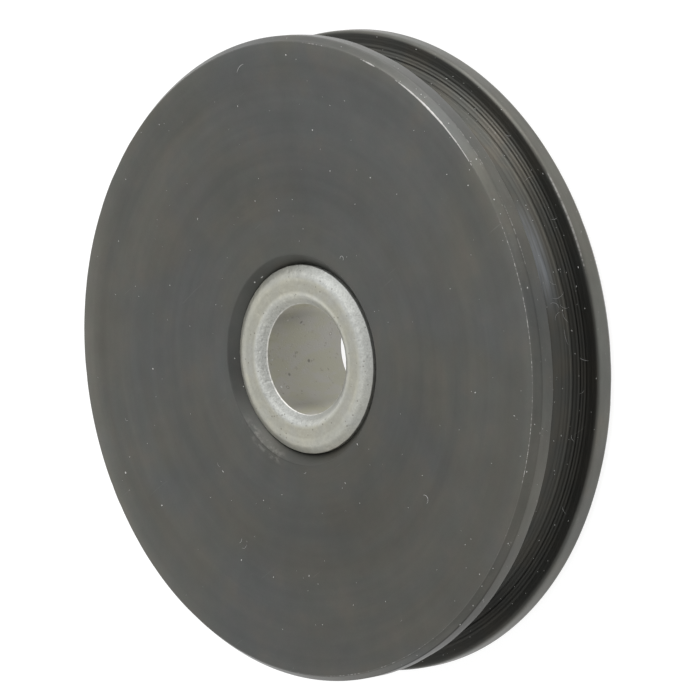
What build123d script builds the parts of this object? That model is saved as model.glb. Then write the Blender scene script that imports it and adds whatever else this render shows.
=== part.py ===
from build123d import *
import os
from math import tan, sin, cos, radians

os.makedirs("parts", exist_ok=True)

# Wire rope sheave lying flat, its axis on +Z.
# Origin: on the bore axis, half way between the two flat faces.
# The front face (the one with the bell-mouthed bore) looks up, towards +Z.
# All sizes in millimetres.

# ---- sheave body -------------------------------------------------------
outer_radius = 92.075 / 2          # 3 5/8 in over the rim
width = 15.875                     # 5/8 in between the flat faces
half_width = width / 2

edge_break_radial = 0.79           # bevel between a flat face and the rim
edge_break_front_axial = 1.2
edge_break_back_axial = 1.0

# ---- rope groove -------------------------------------------------------
groove_root_radius = 40.5          # from the axis to the bottom of the groove
groove_bottom_radius = 4.52        # half round bottom
groove_wall_taper = 4.0            # degrees each side, opening outwards
groove_lip_radius = 0.3            # rounded lips

# ---- bore for the bushing ----------------------------------------------
seat_radius = 13.49                # 1 1/16 in press seat
seat_mouth_radius = 15.03          # 45 degree mouth at both faces
seat_mouth_depth = seat_mouth_radius - seat_radius

# ---- bushing -----------------------------------------------------------
pin_bore_radius = 7.96             # runs on a 5/8 in pin
bell_mouth_depth = 1.16            # front mouth of the pin bore
bell_mouth_slope = 39.0            # degrees below the flat end
bell_mouth_blend = 1.0             # radius between the mouth and the flat
shoulder_drop = 1.0                # sloping outer shoulders, both ends
shoulder_slope = 35.0              # degrees
shoulder_blend = 2.0               # radius between the shoulder and the flat

# The half round bottom runs into two straight walls, tangent to it.
taper = radians(groove_wall_taper)
wall_foot_radius = groove_root_radius + groove_bottom_radius * (1 - sin(taper))
wall_foot_half = groove_bottom_radius * cos(taper)


def wall_half(r):
    """Half width of the groove between its straight walls at radius r."""
    return wall_foot_half + (r - wall_foot_radius) * tan(taper)


# Sheave: one turned steel piece, flat on both sides, with the rope groove
# round its rim and a plain seat through its middle.
with BuildPart() as sheave:
    with BuildSketch(Plane.XZ) as sheave_section:
        with BuildLine():
            Polyline(
                (seat_radius, -half_width + seat_mouth_depth),
                (seat_radius, half_width - seat_mouth_depth),
                (seat_mouth_radius, half_width),
                (outer_radius - edge_break_radial, half_width),
                (outer_radius, half_width - edge_break_front_axial),
                (outer_radius, -half_width + edge_break_back_axial),
                (outer_radius - edge_break_radial, -half_width),
                (seat_mouth_radius, -half_width),
                close=True,
            )
        make_face()
        # Rope groove: a half round bottom between two nearly upright walls.
        beyond = outer_radius + 2
        with BuildLine():
            Line((beyond, wall_half(beyond)), (wall_foot_radius, wall_foot_half))
            ThreePointArc(
                (wall_foot_radius, wall_foot_half),
                (groove_root_radius, 0),
                (wall_foot_radius, -wall_foot_half),
            )
            Line((wall_foot_radius, -wall_foot_half), (beyond, -wall_half(beyond)))
            Line((beyond, -wall_half(beyond)), (beyond, wall_half(beyond)))
        make_face(mode=Mode.SUBTRACT)
        lips = [v for v in sheave_section.vertices()
                if abs(v.X - outer_radius) < 0.01
                and abs(v.Y) < wall_half(outer_radius) + 0.1]
        fillet(lips, groove_lip_radius)
    revolve(axis=Axis.Z)

# Bushing: a plain thick sleeve pressed flush into the seat. Both ends have
# a sloping outer shoulder that blends into the flat end; only the front
# mouth of the pin bore is belled, the back edge of the bore is sharp.
shoulder_corner = seat_radius - shoulder_drop / tan(radians(shoulder_slope))
bell_corner = pin_bore_radius + bell_mouth_depth / tan(radians(bell_mouth_slope))
with BuildPart() as bushing:
    with BuildSketch(Plane.XZ) as bushing_section:
        with BuildLine():
            Polyline(
                (seat_radius, -half_width + shoulder_drop),
                (seat_radius, half_width - shoulder_drop),
                (shoulder_corner, half_width),
                (bell_corner, half_width),
                (pin_bore_radius, half_width - bell_mouth_depth),
                (pin_bore_radius, -half_width),
                (shoulder_corner, -half_width),
                close=True,
            )
        make_face()
        shoulders = [v for v in bushing_section.vertices()
                     if abs(v.X - shoulder_corner) < 0.01]
        fillet(shoulders, shoulder_blend)
        mouth = [v for v in bushing_section.vertices()
                 if abs(v.X - bell_corner) < 0.01]
        fillet(mouth, bell_mouth_blend)
    revolve(axis=Axis.Z)

sheave.part.label = "sheave"
bushing.part.label = "bushing"

export_step(sheave.part, "parts/sheave.step")
export_step(bushing.part, "parts/bushing.step")

print("sheave volume mm3", sheave.part.volume, "solids", len(sheave.part.solids()))
print("bushing volume mm3", bushing.part.volume, "solids", len(bushing.part.solids()))
print("groove half mouth", wall_half(outer_radius))
print("bushing corners", bell_corner, shoulder_corner)
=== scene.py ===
import bpy
import math
import numpy as np
from mathutils import Matrix


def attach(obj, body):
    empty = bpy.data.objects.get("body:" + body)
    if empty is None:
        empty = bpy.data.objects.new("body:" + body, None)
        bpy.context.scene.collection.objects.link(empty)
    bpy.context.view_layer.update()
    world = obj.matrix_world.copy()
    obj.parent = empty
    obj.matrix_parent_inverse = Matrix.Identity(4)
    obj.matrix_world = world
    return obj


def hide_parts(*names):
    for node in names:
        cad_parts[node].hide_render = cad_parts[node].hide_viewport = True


# A turned, oil-blackened wire rope sheave lying flat, its axis on +Z, with a
# thick light grey bushing in its middle. Lengths below are in millimetres and
# become metres when a mesh is made.

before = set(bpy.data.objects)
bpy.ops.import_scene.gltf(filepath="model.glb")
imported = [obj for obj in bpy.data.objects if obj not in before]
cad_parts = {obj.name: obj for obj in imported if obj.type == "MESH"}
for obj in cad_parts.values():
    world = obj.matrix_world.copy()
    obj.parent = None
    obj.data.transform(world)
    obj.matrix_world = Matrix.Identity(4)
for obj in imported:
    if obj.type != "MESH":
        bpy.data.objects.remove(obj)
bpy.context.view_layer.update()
MM = 0.001
cos, sin, tan, pi, rad = math.cos, math.sin, math.tan, math.pi, math.radians

# ---- sizes, as in the solid model ---------------------------------------
R = 46.0375                 # over the rim
H = 7.9375                  # half the width
FACE_EDGE = R - 0.79        # where the flat faces end
BREAK_FRONT = 1.2
BREAK_BACK = 1.0
TAPER = rad(4.0)            # groove walls
ROOT = 40.5
GROOVE_R = 4.52             # half round bottom of the groove
CB = ROOT + GROOVE_R        # radius at which that half round has its centre
WALL_FOOT = (CB - GROOVE_R * sin(TAPER), GROOVE_R * cos(TAPER))
MOUTH_HALF = WALL_FOOT[1] + (R - WALL_FOOT[0]) * tan(TAPER)
LIP_FRONT = 0.2             # the lips are knocked differently on the two sides
LIP_BACK = 0.58
SEAT = 13.49
SEAT_MOUTH = 15.03
BORE = 7.90
BELL_DEPTH = 1.12           # the bore's mouth is a 39 degree cone, blended into the flat end
BELL_SLOPE = rad(39.0)
BELL_BLEND = 1.0
BEVEL_DROP = 1.0            # the outer bevel is a 35 degree cone, blended into the flat end
BEVEL_SLOPE = rad(35.0)
BEVEL_BLEND = 2.0
SINK = 0.03                 # the visible faces lie this far inside, which leaves room for dust


# ---- profile tools --------------------------------------------------------
def fillet_path(corners, turn=16.0):
    """corners: (r, z, fillet radius, spacing of points on the run that follows). Returns an open polyline."""
    out = []
    n = len(corners)
    prev_end = None
    for i, (r, z, f, step) in enumerate(corners):
        if f > 0 and 0 < i < n - 1:
            a = np.array(corners[i - 1][:2]); b = np.array((r, z)); c = np.array(corners[i + 1][:2])
            u = (a - b) / np.linalg.norm(a - b); v = (c - b) / np.linalg.norm(c - b)
            ang = math.acos(max(-1.0, min(1.0, float(u @ v))))
            t = f / tan(ang / 2)
            start, end = b + u * t, b + v * t
            mid = (u + v) / np.linalg.norm(u + v)
            centre = b + mid * (f / sin(ang / 2))
            k = max(3, int(math.ceil((pi - ang) / rad(turn))))
            p0 = start - centre; p1 = end - centre
            w = math.acos(max(-1.0, min(1.0, float(p0 @ p1) / (f * f))))
            arc = [centre + (p0 * sin((1 - s) * w) + p1 * sin(s * w)) / sin(w) for s in np.linspace(0, 1, k + 1)]
        else:
            arc = [np.array((r, z))]
        if prev_end is not None:
            run = arc[0] - prev_end
            L = np.linalg.norm(run)
            m = max(1, int(math.ceil(L / prev_step)))
            out.extend(prev_end + run * s for s in np.linspace(0, 1, m + 1)[1:-1])
        out.extend(arc)
        prev_end, prev_step = arc[-1], step
    return [tuple(p) for p in out]


def arc_points(cr, cz, radius, a0, a1, step, ends=(True, True)):
    n = max(2, int(math.ceil(abs(a1 - a0) * radius / step)))
    t = np.linspace(0, 1, n + 1)
    if not ends[0]: t = t[1:]
    if not ends[1]: t = t[:-1]
    return [(cr + radius * cos(a0 + (a1 - a0) * s), cz + radius * sin(a0 + (a1 - a0) * s)) for s in t]


def normals_of(P):
    """Outward normal of a closed section that runs front seat, face, rim, back: material lies on its right."""
    A = np.roll(P, 1, axis=0); B = np.roll(P, -1, axis=0)
    t = B - A
    t /= np.linalg.norm(t, axis=1)[:, None] + 1e-12
    return np.stack([-t[:, 1], t[:, 0]], 1)


def lathe(name, P, seg, shift, phase=0.0):
    """Closed section P (m, 2) turned about Z. shift(theta (seg,), m) returns (seg, m) distances along the outward normal."""
    m = len(P)
    th = np.arange(seg) * 2 * pi / seg + phase
    N = normals_of(P)
    D = shift(th)
    r = P[None, :, 0] + D * N[None, :, 0]
    z = P[None, :, 1] + D * N[None, :, 1]
    r = np.minimum(r, R); z = np.clip(z, -H, H)
    x = r * np.cos(th)[:, None]; y = r * np.sin(th)[:, None]
    V = np.stack([x, y, z], -1).reshape(-1, 3) * MM
    i = np.arange(seg)[:, None]; j = np.arange(m)[None, :]
    i2 = (i + 1) % seg; j2 = (j + 1) % m
    F = np.stack([i * m + j, i * m + j2, i2 * m + j2, i2 * m + j], -1).reshape(-1, 4)
    return make_mesh(name, V, F)


def make_mesh(name, V, F):
    me = bpy.data.meshes.new(name)
    F = np.asarray(F); k = F.shape[1]
    me.vertices.add(len(V)); me.vertices.foreach_set("co", np.asarray(V, dtype=np.float32).ravel())
    me.loops.add(F.size); me.loops.foreach_set("vertex_index", F.ravel().astype(np.int32))
    me.polygons.add(len(F))
    me.polygons.foreach_set("loop_start", (np.arange(len(F)) * k).astype(np.int32))
    me.polygons.foreach_set("use_smooth", np.ones(len(F), dtype=bool))
    me.update(calc_edges=True)
    me.validate()
    ob = bpy.data.objects.new(name, me)
    bpy.context.scene.collection.objects.link(ob)
    return ob


def waves(th, seed, orders, amp):
    """A smooth closed wave round the turn: (seg,)"""
    g = np.random.default_rng(seed)
    out = np.zeros_like(th)
    for k in orders:
        out += g.normal() * np.cos(k * th + g.uniform(0, 2 * pi))
    return amp * out / math.sqrt(len(orders) / 2)


# ---- the sheave's section -------------------------------------------------
HF = H - SINK
HB = H                      # the back face rests on the floor
front = fillet_path([
    (SEAT, HF - 1.54, 0, 0.4),
    (SEAT_MOUTH, HF, 0.22, 2.3),
    (FACE_EDGE, HF, 0.09, 0.3),
    (R, H - BREAK_FRONT, 0.22, 0.42),
    (R, MOUTH_HALF, LIP_FRONT, 0.45),
    (WALL_FOOT[0], WALL_FOOT[1], 0, 0.4),
])
bottom_near = arc_points(CB, 0, GROOVE_R, pi / 2 + TAPER, pi, 0.26, (False, True))
bottom_far = arc_points(CB, 0, GROOVE_R, pi, 1.5 * pi - TAPER, 0.088, (False, False))
back = fillet_path([
    (WALL_FOOT[0], -WALL_FOOT[1], 0, 0.1),
    (R, -MOUTH_HALF, LIP_BACK, 0.42),
    (R, -HB + BREAK_BACK, 0.22, 0.35),
    (FACE_EDGE, -HB, 0.09, 2.6),
    (SEAT_MOUTH, -HB, 0.15, 0.5),
    (SEAT, -HB + 1.54, 0, 12),
])
P = np.array(front + bottom_near + bottom_far + back)
NSEG = 4 * int(99300 / len(P) / 4)

# Turned rings left by the tool in the groove: angle round the half round, in
# degrees from its deepest point towards the back (+) or the front (-), depth
# and half width. Those on the far wall and bottom can be seen from the front.
rings = [(phi, depth, w) for phi, depth, w in [
    (84.0, 0.012, 0.12), (81.2, 0.022, 0.10), (77.4, -0.022, 0.12), (73.8, 0.045, 0.11), (70.6, -0.014, 0.12), (67.9, 0.016, 0.09), (65.2, -0.026, 0.12),
    (62.3, 0.070, 0.12), (59.1, -0.030, 0.13), (55.2, 0.012, 0.10), (52.2, -0.010, 0.12), (48.8, 0.070, 0.12), (45.5, -0.034, 0.13), (41.4, 0.028, 0.10),
    (38.9, -0.010, 0.10), (37.0, 0.024, 0.10), (33.0, -0.014, 0.12), (29.8, 0.030, 0.10), (25.0, -0.010, 0.14), (20.0, -0.012, 0.14), (14.0, 0.014, 0.12),
    (7.0, 0.012, 0.14), (-4.0, 0.012, 0.22), (-14.0, -0.012, 0.25), (-26.0, 0.016, 0.25), (-39.0, -0.014, 0.25), (-54.0, 0.022, 0.25), (-71.0, 0.020, 0.3)]]
rings = [(CB - GROOVE_R * cos(rad(phi)), -GROOVE_R * sin(rad(phi)), depth, w) for phi, depth, w in rings] + [(45.05, -4.53, 0.012, 0.12)]


def sheave_shift(th):
    m = len(P)
    D = np.zeros((len(th), m))
    r, z = P[:, 0], P[:, 1]
    groove = (r < R - 0.3) & (np.abs(z) < MOUTH_HALF + 0.05) & (r > 30)
    for k, (rr, zz, depth, w) in enumerate(rings):
        d2 = (r - rr) ** 2 + (z - zz) ** 2
        prof = np.exp(-d2 / (2 * (w * 0.62) ** 2)) * groove
        vary = 1 + waves(th, 900 + k, (1, 2, 3, 5), 0.22)
        D -= depth * np.clip(vary, 0.3, 1.6)[:, None] * prof[None, :]
    # the groove is a touch uneven round the turn
    D += groove[None, :] * waves(th, 31, (2, 3, 5, 7), 0.008)[:, None]
    # lips: knocked and rolled a little by the rope
    for zz, seed in ((MOUTH_HALF + 0.15, 41), (-MOUTH_HALF - 0.15, 42)):
        near = np.exp(-((r - R) ** 2 + (z - zz) ** 2) / (2 * 0.30 ** 2))
        w = np.abs(waves(th, seed, (3, 7, 11, 17, 29), 0.035))
        D -= w[:, None] * near[None, :]
    # lands: very slight flats
    land = (r > R - 0.05)
    D -= land[None, :] * (np.abs(waves(th, 51, (2, 5, 9, 13), 0.006)))[:, None]
    # nicks on the two face edges: (turn angle in degrees, size along the edge, depth)
    g = np.random.default_rng(77)
    deg = np.degrees(th)
    nick = []
    for _ in range(90):
        nick.append((g.uniform(0, 360), g.uniform(0.7, 2.2), g.uniform(0.005, 0.03)))
    edge_f = np.exp(-((r - FACE_EDGE) ** 2 + (z - HF) ** 2) / (2 * 0.17 ** 2))
    for T, w, dep in nick:
        da = (deg - T + 180) % 360 - 180
        along = np.exp(-((da * pi / 180 * FACE_EDGE) ** 2) / (2 * (w * 0.5) ** 2))
        D -= dep * along[:, None] * edge_f[None, :]
    edge_b = np.exp(-((r - FACE_EDGE) ** 2 + (z + HB) ** 2) / (2 * 0.17 ** 2))
    g = np.random.default_rng(78)
    for _ in range(50):
        T, w, dep = g.uniform(0, 360), g.uniform(0.5, 1.8), g.uniform(0.02, 0.10)
        da = (deg - T + 180) % 360 - 180
        along = np.exp(-((da * pi / 180 * FACE_EDGE) ** 2) / (2 * (w * 0.5) ** 2))
        D -= dep * along[:, None] * edge_b[None, :]
    # the front mouth of the seat is uneven where the press has touched it
    mouth = np.exp(-((r - SEAT_MOUTH) ** 2 + (z - HF) ** 2) / (2 * 0.35 ** 2))
    D -= mouth[None, :] * np.abs(waves(th, 61, (2, 4, 7, 12, 19), 0.045))[:, None]
    return D


sheave = lathe("turned_sheave", P, NSEG, sheave_shift)

# ---- the bushing ------------------------------------------------------------
OUT = SEAT - 0.012
TOP = H - 0.02
BELL_CORNER = BORE + BELL_DEPTH / tan(BELL_SLOPE)
BEVEL_CORNER = SEAT - BEVEL_DROP / tan(BEVEL_SLOPE)
edge_z = TOP - (OUT - BEVEL_CORNER) * tan(BEVEL_SLOPE)
B = fillet_path([
    (BORE - 0.05, -H, 0, 0.3),
    (BORE - 0.05, -H + 0.3, 0, 1.2),
    (BORE, -H + 1.5, 0, 2.5),
    (BORE, TOP - BELL_DEPTH - 0.5, 0, 0.2),
    (BORE, TOP - BELL_DEPTH, 0.16, 0.12),
    (BELL_CORNER, TOP, BELL_BLEND, 0.14),
    (BEVEL_CORNER, TOP, BEVEL_BLEND, 0.12),
    (OUT, edge_z, 0.16, 0.4),
    (OUT, edge_z - 0.7, 0, 3.0),
    (OUT, -edge_z, 0.07, 0.3),
    (BEVEL_CORNER, -H, BEVEL_BLEND, 0.8),
    (BORE + 0.3, -H, 0, 1),
], 4.6)
B = np.array(B)
BSEG = 700


def bushing_shift(th):
    m = len(B)
    r, z = B[:, 0], B[:, 1]
    D = np.zeros((len(th), m))
    top = z > H - 2.2
    # low lumps, as on a tumbled sintered sleeve
    g = np.random.default_rng(5)
    s = np.concatenate([[0], np.cumsum(np.hypot(np.diff(r), np.diff(z)))])
    for _ in range(46):
        k = int(g.integers(2, 60)); q = g.uniform(0.4, 3.2)
        D += 0.0028 * np.cos(k * th + g.uniform(0, 2 * pi))[:, None] * np.cos(q * s + g.uniform(0, 2 * pi))[None, :] * top[None, :]
    D -= 0.012 * top[None, :]
    # pits: (T in degrees clockwise from the front view's top, r, size, depth)
    pits = []
    for T, rr, size, dep in [(7, 11.53, 0.26, 0.10), (359, 11.61, 0.18, 0.08), (347, 9.91, 0.22, 0.09), (359, 9.32, 0.2, 0.08), (315, 10.43, 0.3, 0.08), (300, 12.4, 0.16, 0.06),
                             (332, 10.9, 0.2, 0.07), (322, 9.5, 0.2, 0.07), (20, 9.9, 0.16, 0.06), (95, 9.3, 0.2, 0.07), (110, 11.9, 0.16, 0.07), (128, 12.4, 0.15, 0.06)]:
        pits.append((T, rr, size, dep))
    for _ in range(330):
        pits.append((g.uniform(0, 360), 8.0 + 5.3 * math.sqrt(g.uniform(0, 1)), g.uniform(0.07, 0.17), g.uniform(0.015, 0.055)))
    for _ in range(120):          # the belled mouth is rougher on one side
        pits.append((g.normal(296, 30), g.uniform(8.0, 9.1), g.uniform(0.08, 0.20), g.uniform(0.02, 0.075)))
    for _ in range(330):
        pits.append((g.normal(62, 40), g.uniform(11.5, 13.3), g.uniform(0.07, 0.17), g.uniform(-0.05, 0.06)))
    for _ in range(160):
        pits.append((g.uniform(0, 360), g.uniform(11.8, 13.3), g.uniform(0.07, 0.15), g.uniform(-0.03, 0.04)))
    for _ in range(110):
        pits.append((g.normal(222, 24), g.uniform(8.0, 9.9), g.uniform(0.07, 0.17), g.uniform(-0.05, 0.05)))
    deg = np.degrees(th)
    idx = np.nonzero(top)[0]
    for T, rr, size, dep in pits:
        da = ((deg + T + 180) % 360 - 180) * pi / 180 * rr
        sel_t = np.abs(da) < 3 * size
        sel_r = idx[np.abs(r[idx] - rr) < 3 * size]
        if not len(sel_r):
            continue
        # nearest point of the section at that radius on the front end
        k = sel_r[np.argmin(np.abs(r[sel_r] - rr))]
        ds = np.abs(s[sel_r] - s[k])
        bump = np.exp(-(da[sel_t] ** 2)[:, None] / (2 * (size * 0.55) ** 2) - (ds ** 2)[None, :] / (2 * (size * 0.55) ** 2))
        D[np.ix_(np.nonzero(sel_t)[0], sel_r)] -= dep * bump
    return D


bushing = lathe("plain_bushing", B, BSEG, bushing_shift)

# ---- dust grains and lint -----------------------------------------------------
def grain(V, F, p, n, t, L, w, h, g, sides=7):
    """A flat closed grain on a surface at p with normal n, long axis t."""
    n = np.array(n) / np.linalg.norm(n); t = np.array(t, dtype=float); t -= (t @ n) * n; t /= np.linalg.norm(t)
    b = np.cross(n, t)
    base = len(V)
    for lvl, sc in ((-0.012, 1.0), (h, 0.62)):
        for k in range(sides):
            a = 2 * pi * k / sides
            q = 1 + 0.28 * math.sin(3 * a + base) * 0.5 + 0.1 * math.cos(2 * a + 1.7 * base)
            V.append(np.array(p) + t * (L / 2 * cos(a) * sc * q) + b * (w / 2 * sin(a) * sc * q) + n * lvl)
    V.append(np.array(p) - n * 0.012); V.append(np.array(p) + n * h * 1.1)
    lo, hi = base + 2 * sides, base + 2 * sides + 1
    for k in range(sides):
        k2 = (k + 1) % sides
        F.append((base + k, base + k2, base + sides + k2)); F.append((base + k, base + sides + k2, base + sides + k))
        F.append((lo, base + k2, base + k)); F.append((hi, base + sides + k, base + sides + k2))


def tube(V, F, pts, rr, sides=6):
    """A thin closed fibre along pts."""
    pts = np.array(pts); base = len(V); n = len(pts)
    T = np.gradient(pts, axis=0); T /= np.linalg.norm(T, axis=1)[:, None]
    ref = np.array([0.3, 0.2, 0.93])
    for i in range(n):
        u = np.cross(T[i], ref); u /= np.linalg.norm(u); v = np.cross(T[i], u)
        k = rr * (0.45 + 0.55 * math.sin(pi * min(1, max(0, (i + 0.6) / n))))
        for a in np.arange(sides) * 2 * pi / sides:
            V.append(pts[i] + u * (k * cos(a)) + v * (k * sin(a)))
    for i in range(n - 1):
        for k in range(sides):
            a, b = base + i * sides + k, base + i * sides + (k + 1) % sides
            c, d = a + sides, b + sides
            F.append((a, b, d)); F.append((a, d, c))
    V.append(pts[0] - T[0] * rr * 0.5); V.append(pts[-1] + T[-1] * rr * 0.5)
    s0, s1 = len(V) - 2, len(V) - 1
    for k in range(sides):
        F.append((s0, base + (k + 1) % sides, base + k))
        F.append((s1, base + (n - 1) * sides + k, base + (n - 1) * sides + (k + 1) % sides))


def at(r, T, z):
    """T is measured clockwise from the top of the front view, which is +X."""
    a = rad(-T)
    return np.array([r * cos(a), r * sin(a), z])


def frame_at(T):
    a = rad(-T)
    return np.array([cos(a), sin(a), 0.0]), np.array([sin(a), -cos(a), 0.0])


# ---- face dust, as seen: (radius, T, length, width, turn of the long axis from radial)
face_dust = [
    (37.6, 241, .42, .30, 20), (41.7, 252, .46, .34, 70), (43.3, 7, .34, .30, 0), (32.6, 213, .32, .30, 0), (30.9, 273, .40, .28, 40),
    (33.0, 15, .30, .28, 0), (34.3, 103, .32, .28, 0), (30.9, 188, .32, .28, 0), (15.7, 145, .55, .16, 10), (23.9, 233, .46, .16, 80),
    (42.8, 61, .28, .26, 0), (30.4, 38, .28, .26, 0), (28.0, 322, .46, .15, 60), (37.5, 351, .26, .24, 0), (44.1, 138, .34, .16, 0),
    (21.4, 359, .34, .18, 0), (41.9, 106, .46, .14, 20), (28.2, 298, .30, .16, 0), (28.0, 23, .32, .16, 0), (32.4, 201, .30, .16, 0),
    (23.8, 348, .28, .16, 0), (22.4, 211, .26, .16, 0), (40.6, 56, .26, .16, 0), (40.2, 301, .30, .16, 40), (18.9, 163, .28, .16, 0),
    (25.5, 36, .20, .18, 0), (39.6, 136, .20, .18, 0), (27.8, 131, .18, .16, 0), (18.5, 301, .18, .16, 0), (37.1, 20, .18, .16, 0), (40.0, 134, .26, .14, 30),
]
V, F = [], []
g = np.random.default_rng(11)
up = (0, 0, 1)
for r, T, L, w, tw in face_dust:
    e, t = frame_at(T + 0.0)
    a = rad(tw)
    grain(V, F, at(r, T, HF), up, e * cos(a) + t * sin(a), L * 0.82, w * 0.82, 0.026, g)
for _ in range(120):          # finer dust, all over the front face
    r = math.sqrt(g.uniform(16 ** 2, 44.8 ** 2)); T = g.uniform(0, 360)
    e, t = frame_at(T)
    s = g.uniform(0.05, 0.13)
    grain(V, F, at(r, T, HF), up, e * cos(T) + t * sin(T), s * g.uniform(1, 1.8), s, 0.02, g)
# on the bevel and the front land
for _ in range(46):
    T = float(g.uniform(0, 190))
    e, t = frame_at(T)
    s = g.uniform(0.08, 0.2)
    if g.uniform() < 0.5:
        k = g.uniform(0.1, 0.9)
        nb = e * BREAK_FRONT + np.array([0, 0, 0.79])
        grain(V, F, at(FACE_EDGE + 0.79 * k, T, HF - BREAK_FRONT * k + 0.01), nb, t, s * 1.4, s, 0.02, g)
    else:
        grain(V, F, at(R - 0.02, T, g.uniform(5.4, 6.5)), e, t, s * g.uniform(1, 2.4), s * 0.8, 0.02, g)
# in the groove
PN = normals_of(P)
vis = [i for i in range(len(P)) if P[i, 0] < R - 0.2 and P[i, 0] > 40 and -4.6 < P[i, 1] < 0.5]
for _ in range(210):
    T = float(g.uniform(-10, 190)) if g.uniform() < 0.75 else float(g.uniform(190, 350))
    i = vis[int(g.integers(0, len(vis)))]
    e, t = frame_at(T)
    n = e * PN[i, 0] + np.array([0, 0, PN[i, 1]])
    s = g.uniform(0.05, 0.16)
    grain(V, F, at(P[i, 0], T, P[i, 1]), n, t + np.array([0, 0, g.normal() * 0.6]), s * g.uniform(1, 2.6), s, 0.022, g)
# recess round the bushing and the bore
for r, T, L, w in ((14.31, 326, .30, .26), (14.09, 332, .55, .16), (13.9, 259, .2, .16), (14.3, 276, .2, .16)):
    e, t = frame_at(T)
    grain(V, F, at(r, T, HF - (SEAT_MOUTH - r)), -e + np.array([0, 0, 1.0]), t, L, w, 0.024, g)
for zf, T, L, w in ((4.47, 263, .24, .22), (11.92, 249, .26, .22), (2.37, 244, .5, .34), (11.75, 303, .3, .2), (2.0, 274, .3, .3), (2.9, 262, .16, .14), (3.4, 281, .14, .12)):
    e, t = frame_at(T)
    grain(V, F, at(BORE, T, H - zf), -e, t, L, w, 0.02, g)
dust = make_mesh("dust_grains", np.array(V) * MM, np.array(F))

V, F = [], []


def face_fibre(r, T, length, turn, curl, rr=0.03, n=14):
    e, t = frame_at(T)
    p = at(r, T, HF - 0.004)
    a = rad(turn)
    pts = []
    for k in range(n):
        s = (k / (n - 1) - 0.5)
        d = a + curl * s
        pts.append(p + (e * cos(d) + t * sin(d)) * (s * length))
    tube(V, F, pts, rr)


face_fibre(30.3, 135, 1.75, 25, 1.4, 0.036)
face_fibre(42.7, 354, 1.9, 62, 0.5, 0.034)
face_fibre(17.6, 39, 1.2, 80, 2.0, 0.033)
face_fibre(30.1, 215, 0.9, 10, 0.6, 0.024)
face_fibre(16.2, 188, 0.5, 60, 0.8, 0.024)
face_fibre(30.6, 213, 1.2, 35, 0.8, 0.016)
face_fibre(24.0, 236, 0.8, 100, 1.1, 0.014)
face_fibre(38.4, 262, 0.9, 40, 1.6, 0.014)


def groove_fibre(T, i, length, slant, bend, rr=0.022, n=16):
    """A hair lying in the groove, over the ridges. i is the section index of its middle."""
    step = length / (n - 1)
    u = v = 0.0
    path = []
    for k in range(n):
        ang = slant + bend * (k / (n - 1) - 0.5)
        path.append((u, v))
        u += step * cos(ang); v += step * sin(ang)
    u0, v0 = path[n // 2]
    pts = []
    for u, v in path:
        x = max(vis[0], min(vis[-1] - 1.001, i + (v - v0) / 0.09))
        j = int(x); q = x - j
        e, t = frame_at(T + math.degrees((u - u0) / 42.0))
        rz = P[j] * (1 - q) + P[j + 1] * q
        nn = PN[j] * (1 - q) + PN[j + 1] * q
        pts.append(at(rz[0], T + math.degrees((u - u0) / 42.0), rz[1]) + (e * nn[0] + np.array([0, 0, nn[1]])) * 0.03)
    tube(V, F, pts, rr)


mid = vis[len(vis) // 2]
for T, di, length, slant, bend, rr in [
        (84.8, -6, 2.2, 1.9, 1.6, 0.018), (86.0, -12, 1.9, 0.7, -2.2, 0.019), (87.0, -1, 1.6, 1.2, 1.9, 0.016), (88.0, -16, 1.5, 2.4, -1.5, 0.016), (88.8, -4, 1.8, 0.4, 1.2, 0.016),
        (92.6, -6, 2.2, 0.15, 0.5, 0.016), (82.0, -12, 1.1, 0.9, 1.4, 0.015), (70.5, 24, 1.1, 1.4, 0.9, 0.016), (97.0, 22, 1.5, 1.3, 0.8, 0.018), (112.0, 8, 1.1, 0.6, 1.4, 0.018),
        (126.0, 24, 1.2, 1.0, 1.0, 0.018), (61.0, 14, 1.1, 1.5, -0.8, 0.016), (52.0, 26, 0.9, 0.8, 1.0, 0.016), (103.0, 18, 0.8, 2.2, 0.9, 0.016), (210.0, 10, 1.6, 1.1, 1.0, 0.018), (283.0, 16, 1.4, 0.7, 1.2, 0.018)]:
    groove_fibre(T, mid + di, length, slant, bend, rr)
lint = make_mesh("lint_fibres", np.array(V) * MM, np.array(F))


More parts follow.
